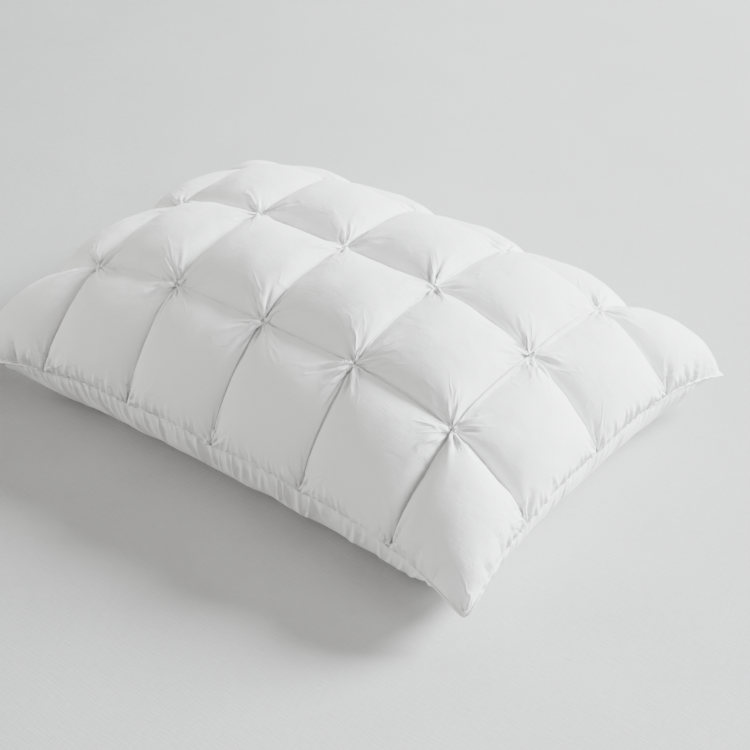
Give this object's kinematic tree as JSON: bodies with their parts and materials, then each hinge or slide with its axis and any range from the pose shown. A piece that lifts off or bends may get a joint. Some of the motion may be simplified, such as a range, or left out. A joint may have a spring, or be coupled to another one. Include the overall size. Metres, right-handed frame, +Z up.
{
  "type": "bed pillow",
  "caption": "Pinch-pleated quilted bed pillow: puffy square cells divided by sewn tucks on top, a plain underside and a knife edge seam.",
  "frame": {"origin": "middle of the underside, on the surface that the pillow lies on", "axes": "+X along the pillow's length, +Y across it, +Z up through the quilted top"},
  "size_m": [0.6286, 0.4596, 0.1971],
  "materials": {
    "cover_cotton": "close plain-woven white cotton, faint sheen",
    "lining_cloth": "light white lining cloth",
    "quilting_down": "loose white down clusters in a light web",
    "casing_cloth": "downproof white cotton",
    "feather_fill": "white feather and down",
    "sewing_thread": "twisted white polyester thread",
    "label_tape": "blank white satin tape"
  },
  "bodies": {
    "root": {"top_cover": "cover_cotton", "bottom_cover": "cover_cotton", "quilt_lining": "lining_cloth", "down_pad_row1_cell1": "quilting_down", "down_pad_row1_cell2": "quilting_down", "down_pad_row1_cell3": "quilting_down", "down_pad_row1_cell4": "quilting_down", "down_pad_row1_cell5": "quilting_down", "down_pad_row1_cell6": "quilting_down", "down_pad_row2_cell1": "quilting_down", "down_pad_row2_cell2": "quilting_down", "down_pad_row2_cell3": "quilting_down", "down_pad_row2_cell4": "quilting_down", "down_pad_row2_cell5": "quilting_down", "down_pad_row2_cell6": "quilting_down", "down_pad_row3_cell1": "quilting_down", "down_pad_row3_cell2": "quilting_down", "down_pad_row3_cell3": "quilting_down", "down_pad_row3_cell4": "quilting_down", "down_pad_row3_cell5": "quilting_down", "down_pad_row3_cell6": "quilting_down", "down_pad_row4_cell1": "quilting_down", "down_pad_row4_cell2": "quilting_down", "down_pad_row4_cell3": "quilting_down", "down_pad_row4_cell4": "quilting_down", "down_pad_row4_cell5": "quilting_down", "down_pad_row4_cell6": "quilting_down", "inner_casing_top": "casing_cloth", "inner_casing_bottom": "casing_cloth", "feather_core": "feather_fill", "edge_seam": "cover_cotton", "cross_tuck_thread_1": "sewing_thread", "cross_tuck_thread_2": "sewing_thread", "cross_tuck_thread_3": "sewing_thread", "cross_tuck_thread_4": "sewing_thread", "cross_tuck_thread_5": "sewing_thread", "long_tuck_thread_1": "sewing_thread", "long_tuck_thread_2": "sewing_thread", "long_tuck_thread_3": "sewing_thread", "pinch_tacks": "sewing_thread", "closing_stitches": "sewing_thread", "care_label": "label_tape"}
  },
  "joints": []
}
